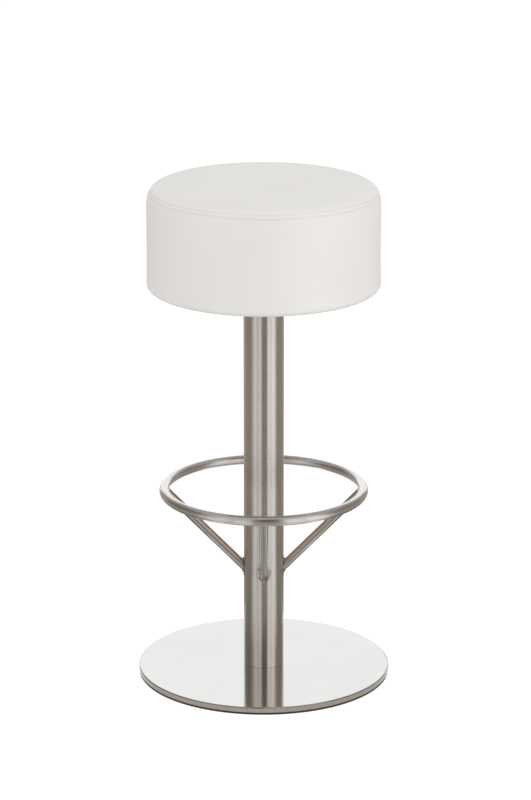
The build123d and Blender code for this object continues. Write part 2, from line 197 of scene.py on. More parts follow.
def fan(tip, first, count):
    """Triangles from a point to the ring of points that starts at another."""
    return [(tip, first + index, first + (index + 1) % count) for index in range(count)]


def flip(faces):
    """The same faces seen from the other side."""
    return [tuple(reversed(face)) for face in faces]


def join(shapes):
    """One list of points and one of faces, from several pairs of them."""
    points, faces = [], []
    for more_points, more_faces in shapes:
        faces += [tuple(index + len(points) for index in face) for face in more_faces]
        points += more_points
    return points, faces


def mesh_values(piece, attribute):
    """The points ("co") or the normals ("normal") of a mesh as an array."""
    values = np.zeros(len(piece.data.vertices) * 3)
    piece.data.vertices.foreach_get(attribute, values)
    return values.reshape(-1, 3)


def set_points(piece, points):
    """Move the points of a mesh."""
    piece.data.vertices.foreach_set("co", np.asarray(points, float).ravel())
    piece.data.update()


def apply_modifiers(piece):
    """Replace the mesh by what its modifiers make of it."""
    depsgraph = bpy.context.evaluated_depsgraph_get()
    evaluated = piece.evaluated_get(depsgraph)
    finished = bpy.data.meshes.new_from_object(evaluated, depsgraph=depsgraph)
    piece.modifiers.clear()
    piece.data = finished


def subdivide(piece):
    """Smooth the mesh by one subdivision."""
    subdivision = piece.modifiers.new("subdivision", "SUBSURF")
    subdivision.levels = subdivision.render_levels = 1
    apply_modifiers(piece)


def thicken(piece, thickness):
    """Give a sheet its thickness, behind its outside."""
    shell = piece.modifiers.new("thickness", "SOLIDIFY")
    shell.thickness = thickness
    shell.offset = -1
    apply_modifiers(piece)


def even_angles(count):
    """Angles all the way round."""
    return [2 * math.pi * step / count for step in range(count)]


def ring_points(profile, angles):
    """A profile of (radius, height) turned to each angle, one profile point at a time."""
    return [
        (radius * math.cos(angle), radius * math.sin(angle), height)
        for radius, height in profile
        for angle in angles
    ]


def turned(vector, degrees):
    """A vector turned about the upright axis."""
    return Matrix.Rotation(math.radians(degrees), 3, "Z") @ Vector(vector)


def bell(share):
    """1 in the middle, falling off to 0 on both sides."""
    return math.exp(-(share**2))


# Node helpers

def feed(socket, value):
    """Link an input to another node's output, or set it. A colour comes without its alpha."""
    if isinstance(value, bpy.types.NodeSocket):
        socket.id_data.links.new(value, socket)
    elif socket.type == "RGBA":
        socket.default_value = (*value, 1.0)
    else:
        socket.default_value = value


def add_node(tree, kind, inputs=None, **settings):
    """A shader node with its settings, and its inputs by name or number."""
    node = tree.nodes.new(kind)
    for name, value in settings.items():
        setattr(node, name, value)
    for name, value in (inputs or {}).items():
        feed(node.inputs[name], value)
    return node


def new_material(name, **constants):
    """A material with a Principled shader, and the shader's own constants."""
    material = bpy.data.materials.new(name)
    material.use_nodes = True
    tree = material.node_tree
    shader = tree.nodes["Principled BSDF"]
    for socket, value in constants.items():
        shader.inputs[socket.replace("_", " ").title()].default_value = value
    return material, tree, shader


def empty_material(name):
    """A material whose node tree has only its output."""
    material, tree, _ = new_material(name)
    tree.nodes.clear()
    output = add_node(tree, "ShaderNodeOutputMaterial")
    return material, tree, output.inputs["Surface"]


def place(tree, scale=(1, 1, 1)):
    """The point in the shared frame, stretched by a scale along each axis."""
    coordinates = add_node(tree, "ShaderNodeTexCoord").outputs["Object"]
    mapping = add_node(tree, "ShaderNodeMapping", {"Vector": coordinates, "Scale": scale})
    return mapping.outputs["Vector"]


def grain(tree, cycles, detail=2.0, roughness=0.5):
    """Noise, in cycles a metre: one number, or one along each axis."""
    scale = cycles if isinstance(cycles, tuple) else (cycles, cycles, cycles)
    vector = place(tree, scale)
    settings = {"Vector": vector, "Scale": 1.0, "Detail": detail, "Roughness": roughness}
    return add_node(tree, "ShaderNodeTexNoise", settings).outputs["Fac"]


def cells(tree, per_metre, feature="F1", output="Distance"):
    """Voronoi cells."""
    settings = {"Vector": place(tree), "Scale": per_metre}
    return add_node(tree, "ShaderNodeTexVoronoi", settings, feature=feature).outputs[output]


def remap(tree, value, low, high, start=0.3, end=0.7):
    """A value between start and end, spread from low to high."""
    settings = {"Value": value, "From Min": start, "From Max": end, "To Min": low, "To Max": high}
    return add_node(tree, "ShaderNodeMapRange", settings).outputs["Result"]


def math_node(tree, operation, first, second):
    """The result of an operation on two values."""
    return add_node(tree, "ShaderNodeMath", {0: first, 1: second}, operation=operation).outputs[0]


def blend(tree, first, second, share):
    """A share of the first value and the rest of the second."""
    part = math_node(tree, "MULTIPLY", first, share)
    rest = math_node(tree, "MULTIPLY", second, 1 - share)
    return math_node(tree, "ADD", part, rest)


def mix_colour(tree, factor, first, second):
    """A colour between two."""
    colours = {0: factor, 6: first, 7: second}
    return add_node(tree, "ShaderNodeMix", colours, data_type="RGBA").outputs[2]


def paint(shader, factor, first, second):
    """Colour a surface between two tones."""
    feed(shader.inputs["Base Color"], mix_colour(shader.id_data, factor, first, second))


def roughen(shader, value, low, high):
    """Let the roughness follow a noise, between two limits."""
    feed(shader.inputs["Roughness"], remap(shader.id_data, value, low, high))


def set_bump(shader, height, strength, distance):
    """Fine relief."""
    settings = {"Height": height, "Strength": strength, "Distance": distance}
    bump = add_node(shader.id_data, "ShaderNodeBump", settings)
    feed(shader.inputs["Normal"], bump.outputs["Normal"])


# Materials

COLUMN_TONES = (0.785, 0.74, 0.685), (0.82, 0.775, 0.72)
RING_TONES = (0.83, 0.80, 0.77), (0.89, 0.86, 0.83)
# painted shade: darker tones of the strut steel, used for the side and rear struts
SHADED_STRUT_TONES = (0.56, 0.495, 0.43), (0.63, 0.56, 0.49)
BASE_TOP_TONES = (0.82, 0.815, 0.81), (0.86, 0.858, 0.855)
# painted shade: darker tones on the base's rim, for the shadowed floor it reflects
BASE_RIM_SHADE_TONES = (0.275, 0.24, 0.205), (0.325, 0.285, 0.245)
BASE_EDGE = 0.5, 0.9  # BASE_EDGE = 0.5, 0.9 # how far the base's surface faces up where the painted shade of the rim turns into the top


def along(direction):
    """Tangent along a fixed direction."""
    def tangent(tree):
        values = dict(zip("XYZ", direction))
        return add_node(tree, "ShaderNodeCombineXYZ", values).outputs["Vector"]
    return tangent


def around_axis(tree):
    """Tangent round the upright axis."""
    return add_node(tree, "ShaderNodeTangent", direction_type="RADIAL", axis="Z").outputs["Tangent"]


def brushed_steel(
    name, scratches, tangent, tones, rotation=0.0, roughness=(0.27, 0.29), stretch=0.95
):
    """Brushed stainless tube. scratches is the noise frequency, one or one along each axis."""
    material, tree, shader = new_material(
        name, metallic=1.0, anisotropic=stretch, anisotropic_rotation=rotation
    )
    streak = grain(tree, scratches, detail=3.0)
    cloud = grain(tree, 16)
    tone = blend(tree, streak, cloud, share=0.6)
    paint(shader, remap(tree, tone, 0, 1), *tones)
    roughen(shader, streak, *roughness)
    set_bump(shader, streak, strength=0.02, distance=0.00001)
    feed(shader.inputs["Tangent"], tangent(tree))
    return material


def polished_steel():
    """Sheet steel: polished on top, with painted shade making it darker round the rim."""
    material, tree, shader = new_material("base_steel", metallic=1.0, anisotropic=0.8)
    streak = grain(tree, (10, 1500, 10), detail=3.0)
    cloud = grain(tree, 9)
    tone = remap(tree, streak, 0, 1)
    top = mix_colour(tree, tone, *BASE_TOP_TONES)
    # painted shade: the sideways-facing rim is coloured darker than the top
    shaded_rim = mix_colour(tree, tone, *BASE_RIM_SHADE_TONES)
    facing = add_node(tree, "ShaderNodeNewGeometry").outputs["Normal"]
    upward = add_node(tree, "ShaderNodeSeparateXYZ", {"Vector": facing}).outputs["Z"]
    paint(shader, remap(tree, upward, 0, 1, *BASE_EDGE), shaded_rim, top)
    roughen(shader, cloud, 0.11, 0.15)
    set_bump(shader, streak, strength=0.1, distance=0.00001)
    feed(shader.inputs["Tangent"], along((0, 1, 0))(tree))
    return material


def weld_steel():
    """A weld left as it was laid: bright, with dark specks."""
    material, tree, shader = new_material("weld_steel", metallic=1.0)
    speck = grain(tree, 330, detail=3.0)
    contrast = remap(tree, speck, 0, 1, start=0.42, end=0.6)
    paint(shader, contrast, (0.30, 0.275, 0.245), (0.88, 0.85, 0.82))
    roughen(shader, speck, 0.16, 0.3)
    set_bump(shader, speck, strength=0.7, distance=0.0006)
    return material


def zinc_plate():
    """Galvanized plate with its spangle."""
    material, tree, shader = new_material("zinc_plate", metallic=1.0)
    spangle = cells(tree, 140, output="Color")
    fine = grain(tree, 500, detail=4.0)
    tone = blend(tree, spangle, fine, share=0.3)
    paint(shader, tone, (0.40, 0.41, 0.42), (0.66, 0.67, 0.68))
    roughen(shader, tone, 0.32, 0.5)
    set_bump(shader, fine, strength=0.2, distance=0.00005)
    return material


def grained(name, cycles, tones, roughness, bump=None, detail=4.0, metallic=0.0):
    """A material whose colour, roughness and relief all follow one noise."""
    material, tree, shader = new_material(name, metallic=metallic)
    fine = grain(tree, cycles, detail)
    paint(shader, fine, *tones)
    roughen(shader, fine, *roughness)
    if bump:
        set_bump(shader, fine, *bump)
    return material


def fastener_steel():
    """Plated screws, nuts, washers and staples."""
    tones = (0.36, 0.36, 0.37), (0.62, 0.62, 0.63)
    return grained("fastener_steel", 700, tones, (0.25, 0.42), bump=(0.2, 0.00004), metallic=1.0)


def ball_steel():
    """Bearing balls."""
    tones = (0.60, 0.60, 0.61), (0.74, 0.74, 0.75)
    return grained("ball_steel", 400, tones, (0.06, 0.14), detail=3.0, metallic=1.0)


def cast_iron():
    """Ballast, rough from its sand mould."""
    material, tree, shader = new_material("cast_iron", metallic=0.6)
    sand = grain(tree, 900, detail=5.0, roughness=0.65)
    cloud = grain(tree, 25)
    paint(shader, cloud, (0.045, 0.044, 0.044), (0.11, 0.105, 0.10))
    roughen(shader, sand, 0.55, 0.8)
    set_bump(shader, sand, strength=0.6, distance=0.0003)
    return material


def black_rubber():
    """The floor ring."""
    tones = (0.012, 0.012, 0.012), (0.03, 0.03, 0.029)
    return grained("black_rubber", 600, tones, (0.6, 0.85), bump=(0.4, 0.0001))


def leatherette():
    """White coated cloth with a fine pebble grain."""
    material, tree, shader = new_material("leatherette")
    pebble = cells(tree, 850, feature="SMOOTH_F1")
    crease = grain(tree, 260, detail=4.0, roughness=0.6)
    cloud = grain(tree, 7)
    paint(shader, remap(tree, cloud, 0, 1), (0.775, 0.755, 0.725), (0.795, 0.775, 0.745))
    roughen(shader, crease, 0.42, 0.56)
    height = math_node(tree, "ADD", pebble, math_node(tree, "MULTIPLY", crease, 0.8))
    set_bump(shader, height, strength=0.25, distance=0.0002)
    return material


def thread():
    """White sewing thread, twisted."""
    tones = (0.73, 0.715, 0.685), (0.85, 0.83, 0.80)
    return grained("sewing_thread", 2500, tones, (0.6, 0.8), bump=(0.5, 0.0001), detail=2.0)


def needle_hole():
    """The shaded rim of a needle hole."""
    tones = (0.58, 0.565, 0.535), (0.68, 0.66, 0.63)
    return grained("needle_hole", 1800, tones, (0.6, 0.8), bump=(0.4, 0.0001), detail=2.0)


def foam():
    """Yellowish open foam."""
    material, tree, shader = new_material("seat_foam")
    pores = cells(tree, 700)
    cloud = grain(tree, 20)
    paint(shader, cloud, (0.62, 0.57, 0.42), (0.72, 0.67, 0.52))
    roughen(shader, pores, 0.8, 0.95)
    set_bump(shader, pores, strength=0.8, distance=0.0008)
    return material


def plywood():
    """Plywood: long grain on the faces, and plies in layers at the edge."""
    material, tree, shader = new_material("plywood")
    fibre = grain(tree, (18, 420, 18), detail=4.0, roughness=0.6)
    plies = grain(tree, (1, 1, 420), detail=0.0)
    tone = blend(tree, fibre, plies, share=0.7)
    paint(shader, remap(tree, tone, 0, 1), (0.36, 0.23, 0.12), (0.62, 0.45, 0.27))
    roughen(shader, fibre, 0.55, 0.75)
    set_bump(shader, fibre, strength=0.3, distance=0.0002)
    return material


def dust_cloth():
    """Black spunbond cloth with dimples of its bonding pattern."""
    material, tree, shader = new_material("dust_cloth")
    dimples = cells(tree, 520)
    fibre = grain(tree, 1400, detail=3.0)
    paint(shader, fibre, (0.012, 0.012, 0.013), (0.045, 0.045, 0.047))
    roughen(shader, fibre, 0.75, 0.95)
    height = math_node(tree, "ADD", dimples, fibre)
    set_bump(shader, height, strength=0.5, distance=0.0003)
    return material


def strut_steel(name, direction):
    """Steel brushed along a strut. The front one takes the ring's tones; the others get painted shade,
    darker tones of the same steel.
    """
    axis = turned((math.cos(STRUT_RISE), 0, math.sin(STRUT_RISE)), direction)
    # painted shade: every strut but the front one gets the darker tones
    tones = RING_TONES if name == "front" else SHADED_STRUT_TONES
    return brushed_steel(
        f"strut_steel_{name}", 400, along(axis), tones, roughness=(0.20, 0.24), stretch=0.7
    )


def ring_steel():
    """Steel brushed round the ring's tube."""
    scratches, roughness = (60, 60, 900), (0.23, 0.28)
    return brushed_steel(
        "ring_steel", scratches, around_axis, RING_TONES, 0.25, roughness, stretch=0.4
    )


def dress_cad_nodes():
    """Give every CAD node that stays its finish."""
    finishes = {
        "column_tube": brushed_steel("column_steel", (10, 10, 2400), along(UP), COLUMN_TONES),
        "footrest_ring": ring_steel(),
        "base_cover": polished_steel(),
        "floor_ring": black_rubber(),
        "base_weight": cast_iron(),
        "swivel_balls": ball_steel(),
        "seat_board": plywood(),
    }
    for name, direction in STRUT_DIRECTIONS.items():
        finishes[f"footrest_strut_{name}"] = strut_steel(name, direction)
    plates = ("column_foot_plug", "column_flange", "flange_weld", "swivel_lower_plate",
              "swivel_upper_plate", "swivel_rivet", "swivel_cage")
    fasteners = ("base_screws", "base_washers", "swivel_screws", "swivel_washers", "swivel_nuts",
                 "seat_screws", "seat_tee_nuts", "staples")
    finishes.update(dict.fromkeys(plates, zinc_plate()))
    finishes.update(dict.fromkeys(fasteners, fastener_steel()))
    for name, material in finishes.items():
        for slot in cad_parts[name].material_slots:
            slot.material = material


# Seat outline

def panel_height(radius):
    """Height of the top panel: a low crown that falls away to the seam."""
    share = radius / SEAM_RADIUS
    return SEAT_TOP - CROWN_FALL * share**2 - (SEAM_DROP - CROWN_FALL) * share**EDGE_POWER


def panel_start(radius):
    """Height of the top panel before it swells."""
    room = max(0.0, 1 - (radius / SEAM_RADIUS) ** 2)
    return panel_height(radius) - PANEL_SWELL * room


def side_radius(height):
    """Radius of the side band: straight, then drawn in to the seam."""
    share = max(0.0, 1 - (SEAM_HEIGHT - height) / DRAW_HEIGHT)
    drawn = DRAW_EVEN * share**2 + (1 - DRAW_EVEN) * share**4
    return SEAT_RADIUS - (SEAT_RADIUS - SEAM_RADIUS) * drawn


def seam_stray(angle, away):
    """How far the cover slides down its own outline with the sewing."""
    sink = SEAM_SINK * bell(angle / SINK_SPREAD)
    lift = SEAM_LIFT * bell((angle - LIFT_PLACE) / LIFT_SPREAD)
    return (sink - lift) * bell(away / STRAY_WIDTH)


def seam_lip(side):
    """The edge of the cover turned in at the seam, from the outside inwards. side is +1 above it."""
    lip = []
    for width, depth in SEAM_LIP:
        if side > 0:
            radius = SEAM_RADIUS - SEAM_HALF_WIDTH * width
            height = panel_height(radius)
        else:
            height = SEAM_HEIGHT - SEAM_HALF_WIDTH * width
            radius = side_radius(height)
        inwards = SEAM_DEPTH * depth * math.sqrt(0.5)
        lip.append((radius - inwards, height - inwards))
    return lip


def spaced(start, end, count):
    """Even values from start to end, the start left out."""
    return [start + (end - start) * step / count for step in range(1, count + 1)]


def band_profile(room=BAND_SWELL):
    """Outline (radius, height) of the side band, from the seam down and under the board, and how
    many of its points are sewn. room is left for the swelling."""
    sewn_end = STITCH_HEIGHT - 2 * STITCH_DIP_WIDTH
    draw_end = SEAM_HEIGHT - DRAW_HEIGHT
    heights = [SEAM_HEIGHT - SEAM_HALF_WIDTH]
    heights += spaced(heights[0], sewn_end, SEWN_ROWS)
    heights += spaced(sewn_end, draw_end, DRAW_ROWS)
    heights += spaced(draw_end, HEM_HEIGHT, SIDE_ROWS)
    profile = list(reversed(seam_lip(-1)))
    sewn = len(profile) + SEWN_ROWS
    for height in heights:
        share = max(0.0, (sewn_end - height) / (sewn_end - HEM_HEIGHT))
        profile.append((side_radius(height) - room * 4 * share * (1 - share), height))
    for turn in spaced(0, math.pi / 2, HEM_ROWS):
        out, down = BOTTOM_ROUNDING * math.cos(turn), BOTTOM_ROUNDING * math.sin(turn)
        profile.append((HEM_REACH + out, HEM_HEIGHT - down))
    profile += [(radius, SEAT_UNDERSIDE) for radius in spaced(HEM_REACH, COVER_WRAP_RADIUS, WRAP_ROWS)]
    return profile, sewn


def profile_normals(profile):
    """Outward normals of a profile of (radius, height) that runs downwards."""
    line = np.array(profile)
    along_line = np.gradient(line, axis=0)
    along_line /= np.linalg.norm(along_line, axis=1)[:, None]
    return np.stack([-along_line[:, 1], along_line[:, 0]], axis=1)


# Top panel

def disc_point(across, up):
    """A point of the square from -1 to 1 moved to the unit disc, with even angles on its rim."""
    if across == up == 0:
        return 0.0, 0.0
    if abs(across) >= abs(up):
        radius, angle = across, math.pi / 4 * up / across
    else:
        radius, angle = up, math.pi / 2 - math.pi / 4 * across / up
    return radius * math.cos(angle), radius * math.sin(angle)


def crown_points(side, reach):
    """Points of a grid over the crown, row by row, out to a radius."""
    points = []
    for row in range(side + 1):
        for column in range(side + 1):
            x, y = disc_point(2 * column / side - 1, 2 * row / side - 1)
            points.append((reach * x, reach * y, panel_start(reach * math.hypot(x, y))))
    return points


def grid_border(side):
    """The points round the edge of such a grid, in order."""
    line = side + 1
    return (
        list(range(side))
        + [row * line + side for row in range(side)]
        + [side * line + column for column in range(side, 0, -1)]
        + [row * line for row in range(side, 0, -1)]
    )


def edge_profile(start):
    """Outline (radius, height) of the panel from a radius to the seam, and its turned-in lip."""
    radii = spaced(start, SEAM_RADIUS - SEAM_HALF_WIDTH, EDGE_ROWS)
    return [(radius, panel_start(radius)) for radius in radii] + seam_lip(+1)


def make_top_panel(material):
    """The crowned panel: a grid over the crown, then rings to the seam. Gives the piece and its sewn
    points, which don't swell."""
    side = COLUMNS // 4
    crown_radius = CROWN_SHARE * SEAM_RADIUS
    points = crown_points(side, crown_radius)
    faces = grid_faces(side + 1, side + 1)
    border = grid_border(side)
    angles = [math.atan2(points[index][1], points[index][0]) for index in border]
    profile = edge_profile(crown_radius)
    first = len(points)
    points += ring_points(profile, angles)
    for index in range(COLUMNS):
        following = (index + 1) % COLUMNS
        faces.append((border[index], first + index, first + following, border[following]))
    faces += flip(grid_faces(len(profile), COLUMNS, closed_columns=True, first=first))
    panel = new_piece("seat_top_panel", points, faces, material)
    sewn = SEWN_EDGE_ROWS + len(SEAM_LIP)
    return panel, range(first + (len(profile) - sewn) * COLUMNS, len(points))


# Side band

def band_columns():
    """Angle and depth of each column of points. The strip's ends turn in at a seam at the back."""
    half_turn = SEAM_HALF_WIDTH / SEAT_RADIUS
    end = BACK + 2 * math.pi
    first = [(BACK + half_turn * width, SEAM_DEPTH * depth) for width, depth in reversed(SEAM_LIP)]
    strip = [(turn, 0.0) for turn in np.linspace(BACK + half_turn, end - half_turn, COLUMNS + 1)]
    last = [(end - half_turn * width, SEAM_DEPTH * depth) for width, depth in SEAM_LIP]
    return first + strip + last


def make_side_band(material):
    """The band. Gives the piece and the points that are sewn or folded under and don't swell."""
    profile, sewn = band_profile()
    columns = band_columns()
    points = []
    for (radius, height), (outward, upward) in zip(profile, profile_normals(profile)):
        for turn, depth in columns:
            reach = radius - outward * depth
            points.append((reach * math.cos(turn), reach * math.sin(turn), height - upward * depth))
    count = len(columns)
    band = new_piece("seat_side_band", points, flip(grid_faces(len(profile), count)), material)
    folded = len(profile) - WRAP_ROWS - 1
    ends = len(SEAM_LIP) + 1
    fixed = [
        row * count + column
        for row in range(len(profile))
        for column in range(count)
        if row < sewn or row >= folded or column < ends or column >= count - ends
    ]
    return band, fixed


# Finish of the cover

def swell(piece, fixed, limit, pressure, slack, frames=20):
    """Press the cover outwards from inside by a cloth simulation, then scale the move to a limit."""
    group = piece.vertex_groups.new(name="sewn")
    group.add(list(fixed), 1.0, "REPLACE")
    start = mesh_values(piece, "co")
    cloth = piece.modifiers.new("cloth", "CLOTH")
    settings = cloth.settings
    settings.quality = 6
    settings.mass = 0.3
    settings.tension_stiffness = settings.compression_stiffness = 40
    settings.shear_stiffness = 20
    settings.bending_stiffness = 2
    settings.shrink_min = -slack
    settings.use_pressure = True
    settings.uniform_pressure_force = pressure
    settings.vertex_group_mass = "sewn"
    settings.effector_weights.gravity = 0
    cloth.collision_settings.use_collision = False
    cloth.point_cache.frame_start = 1
    cloth.point_cache.frame_end = frames
    scene = bpy.context.scene
    for number in range(1, frames + 1):
        scene.frame_set(number)
    apply_modifiers(piece)
    scene.frame_set(1)
    moved = mesh_values(piece, "co") - start
    furthest = np.linalg.norm(moved, axis=1).max()
    set_points(piece, start + moved * min(1.0, limit / furthest))
    piece.vertex_groups.clear()


def cover_lift(x, y, z, angle, away):
    """How far the cover stands off its smooth outline: small puckers, less the dips at the sewing."""
    waves = PUCKER_WAVES * math.cos(angle), PUCKER_WAVES * math.sin(angle)
    pucker = noise.noise(Vector((*waves, PUCKER_DRIFT * away)))
    uneven = noise.noise(Vector((x, y, z)) * UNEVEN_WAVES)
    dip = VALLEY_DEPTH * bell(away / VALLEY_WIDTH)
    if z < SEAM_HEIGHT - SEAM_HALF_WIDTH:
        dip += STITCH_DIP * bell((z - STITCH_HEIGHT) / STITCH_DIP_WIDTH)
    near_seam = math.exp(-away / PUCKER_FALLOFF)
    return PUCKER_HEIGHT * pucker * near_seam + UNEVEN_HEIGHT * uneven - dip


def finish_cover(piece):
    """One subdivision, the relief of the sewing and its stray from level, and the thickness."""
    subdivide(piece)
    points = mesh_values(piece, "co")
    normals = mesh_values(piece, "normal")
    for index, (x, y, z) in enumerate(points):
        away = math.hypot(math.hypot(x, y) - SEAM_RADIUS, z - SEAM_HEIGHT)
        angle = math.atan2(y, x)
        hold = bell(away / SEAM_HOLD)
        level = np.array((math.cos(angle), math.sin(angle), 0.0))
        square = (level + UP) * math.sqrt(0.5)
        outward = normals[index] * (1 - hold) + square * hold
        downward = level * outward[2] - np.array(UP) * outward.dot(level)
        lift = cover_lift(x, y, z, angle, away)
        points[index] += outward * lift + downward * seam_stray(angle, away)
    set_points(piece, points)
    thicken(piece, COVER_THICKNESS)


# Foam

def foam_profile():
    """Outline (radius, height) of the foam: under the cover, then up and over the board."""
    board_reach = BOARD_HIGH.x + BOARD_SIDE_GAP
    board_top = BOARD_HIGH.z + BOARD_TOP_GAP
    outside = []
    for step in range(1, FOAM_TOP_ROWS):
        radius = SEAM_RADIUS * (1 - (1 - step / FOAM_TOP_ROWS) ** 2)
        outside.append((radius, panel_height(radius)))
    band, sewn = band_profile(room=0)
    outside += band[sewn - SEWN_ROWS // 2:-WRAP_ROWS:2]
    inside = np.array(outside) - profile_normals(outside) * FOAM_DEPTH
    return [
        *map(tuple, inside),
        (board_reach, SEAT_UNDERSIDE + FOAM_DEPTH),
        (board_reach, board_top),
        (board_reach / 2, board_top),
    ]


def make_foam(material):
    """The foam block below the cover, closed in the middle of its top and of its recess."""
    profile = foam_profile()
    points = ring_points(profile, even_angles(COLUMNS))
    faces = flip(grid_faces(len(profile), COLUMNS, closed_columns=True))
    top = len(points)
    points.append((0, 0, SEAT_TOP - FOAM_DEPTH))
    points.append((0, 0, profile[-1][1]))
    faces += fan(top, 0, COLUMNS)
    faces += flip(fan(top + 1, top - COLUMNS, COLUMNS))
    return new_piece("seat_foam_block", points, faces, material)


# Sewing

def stitch(centre, forward, outward):
    """One stitch: a fat thread that dips into the cover at both ends."""
    sections, sides = 7, 8
    sideways = outward.cross(forward)
    points = []
    for section in range(sections):
        share = 2 * section / (sections - 1) - 1
        lift = STITCH_THICKNESS * (STITCH_STAND - STITCH_DIVE * share**2)
        radius = STITCH_THICKNESS / 2 * math.sqrt(max(STITCH_END, 1 - share**4))
        middle = centre + forward * (share * STITCH_LENGTH / 2) + outward * lift
        for turn in even_angles(sides):
            points.append(middle + (outward * math.cos(turn) + sideways * math.sin(turn)) * radius)
    faces = grid_faces(sections, sides, closed_columns=True)
    faces.append(tuple(reversed(range(sides))))
    faces.append(tuple(range((sections - 1) * sides, sections * sides)))
    return points, faces


def needle_rim(centre, forward, outward):
    """One needle hole: a flat lens in the cover, pulled along the row."""
    sides = 10
    lens = ((0.6, 0.8), (1.0, 0.0), (0.6, -0.8))  # shares of radius and height
    sideways = outward.cross(forward)
    points = [centre + outward * HOLE_HEIGHT]
    for reach, height in lens:
        for turn in even_angles(sides):
            spread = forward * (HOLE_STRETCH * math.cos(turn)) + sideways * math.sin(turn)
            points.append(centre + spread * (reach * HOLE_RADIUS) + outward * (height * HOLE_HEIGHT))
    points.append(centre - outward * HOLE_HEIGHT)
    faces = flip(grid_faces(len(lens), sides, closed_columns=True, first=1))
    last = len(points) - 1
    faces += fan(0, 1, sides)
    faces += flip(fan(last, last - sides, sides))
    return points, faces


def seam_stitches():
    """Middle, direction and outward normal of each stitch in the row below the seam."""
    below = 0.0005  # over which the side's slope is taken
    slope = math.atan2(side_radius(STITCH_HEIGHT - below) - side_radius(STITCH_HEIGHT), below)
    radius = side_radius(STITCH_HEIGHT) - STITCH_DIP
    count = round(2 * math.pi * radius / STITCH_PITCH)
    places = []
    for step in range(count):
        turn = BACK + 2 * math.pi * (step + 0.5) / count
        level = Vector((math.cos(turn), math.sin(turn), 0))
        outward = level * math.cos(slope) + UP * math.sin(slope)
        forward = UP.cross(level)
        downward = level * math.sin(slope) - UP * math.cos(slope)
        stray = downward * seam_stray(math.atan2(level.y, level.x), STITCH_DROP)
        places.append((level * radius + UP * STITCH_HEIGHT + stray, forward, outward))
    return places


def back_stitches():
    """The same for the row beside the upright seam at the back."""
    turn = BACK + STITCH_DROP / SEAT_RADIUS
    level = Vector((math.cos(turn), math.sin(turn), 0))
    places = []
    for step in range(BACK_ROW_START, round((STITCH_HEIGHT - HEM_HEIGHT) / STITCH_PITCH)):
        height = STITCH_HEIGHT - step * STITCH_PITCH
        places.append((level * side_radius(height) + UP * height, -UP, level))
    return places


def make_sewing(name, shape, shift, material):
    """One small shape at every stitch, moved along the row by a shift."""
    shapes = []
    for centre, forward, outward in seam_stitches() + back_stitches():
        shapes.append(shape(centre + forward * shift, forward, outward))
    return new_piece(name, *join(shapes), material)


# Dust cover

def make_dust_cover(material):
    """The cloth stapled under the seat, slack between its staples and at its hole."""
    points = []
    for row in range(DUST_ROWS):
        share = row / (DUST_ROWS - 1)
        radius = DUST_HIGH.x - DUST_WIDTH + DUST_WIDTH * share
        looseness = (1 - share) ** DUST_TIGHTENING
        for turn in even_angles(DUST_COLUMNS):
            waves = DUST_WAVES * math.cos(turn), DUST_WAVES * math.sin(turn)
            wave = noise.noise(Vector((*waves, DUST_DRIFT * share)))
            slack = looseness * (DUST_SLACK + DUST_WAVE * wave)
            height = DUST_LOW.z - max(0.0, slack)
            points.append((radius * math.cos(turn), radius * math.sin(turn), height))
    faces = grid_faces(DUST_ROWS, DUST_COLUMNS, closed_columns=True)
    cloth = new_piece("seat_dust_cover", points, faces, material)
    thicken(cloth, DUST_THICKNESS)
    return cloth


# The whole seat

def build_seat():
    """All soft pieces of the seat, on its body."""
    cover = leatherette()
    panel, panel_fixed = make_top_panel(cover)
    band, band_fixed = make_side_band(cover)
    swell(panel, panel_fixed, PANEL_SWELL, pressure=4.0, slack=0.0)
    swell(band, band_fixed, BAND_SWELL, pressure=12.0, slack=0.006)
    finish_cover(panel)
    finish_cover(band)
    foam_block = make_foam(foam())
    stitches = make_sewing("seat_topstitch", stitch, 0.0, thread())
    holes = make_sewing("seat_needle_holes", needle_rim, STITCH_PITCH / 2, needle_hole())
    dust = make_dust_cover(dust_cloth())
    for piece in (panel, band, foam_block, stitches, holes, dust):
        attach(piece, "seat")
    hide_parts("cover_top_panel")
    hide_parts("cover_side_band")
    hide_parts("seat_foam")
    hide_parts("dust_cover")


# Weld beads

def foot_curve(direction, reach, lift=0.0):
    """Where a tube round a strut's axis meets the column, lifted along the strut, with normals."""
    level, steep = math.cos(STRUT_RISE), math.sin(STRUT_RISE)
    points, normals = [], []
    for turn in even_angles(BEAD_STEPS):
        across = reach * math.sin(turn)
        out = math.sqrt(COLUMN_RADIUS**2 - across**2)
        up = reach * math.cos(turn)
        length = (out - COLUMN_RADIUS + up * steep) / level
        height = STRUT_FOOT_HEIGHT + length * steep + up * level
        points.append(turned((out + lift * level, across, height + lift * steep), direction))
        normals.append(turned((out / COLUMN_RADIUS, across / COLUMN_RADIUS, 0), direction))
    return points, normals


def corner_curve(direction, reach):
    """The line of the second pass, in the corner between strut and column."""
    return foot_curve(direction, reach, CORNER_LIFT)


def ring_contact(across, up):
    """Where a line along a strut, beside and above its axis, meets the ring."""
    level, steep = math.cos(STRUT_RISE), math.sin(STRUT_RISE)
    near, far = -HEAD_SEARCH, 0.0
    for _ in range(HEAD_HALVINGS):
        length = (near + far) / 2
        out = RING_RADIUS + length * level - up * steep
        height = RING_HEIGHT + length * steep + up * level
        from_ring = math.hypot(math.hypot(out, across) - RING_RADIUS, height - RING_HEIGHT)
        if from_ring > RING_TUBE_RADIUS:
            near = length
        else:
            far = length
    return Vector((out, across, height))


def head_curve(direction, reach):
    """Where a tube round a strut's axis meets the ring, with normals."""
    points, normals = [], []
    for turn in even_angles(BEAD_STEPS):
        point = ring_contact(reach * math.sin(turn), reach * math.cos(turn))
        middle = Vector((point.x, point.y, 0)).normalized() * RING_RADIUS + UP * RING_HEIGHT
        points.append(turned(point, direction))
        normals.append(turned((point - middle).normalized(), direction))
    return points, normals


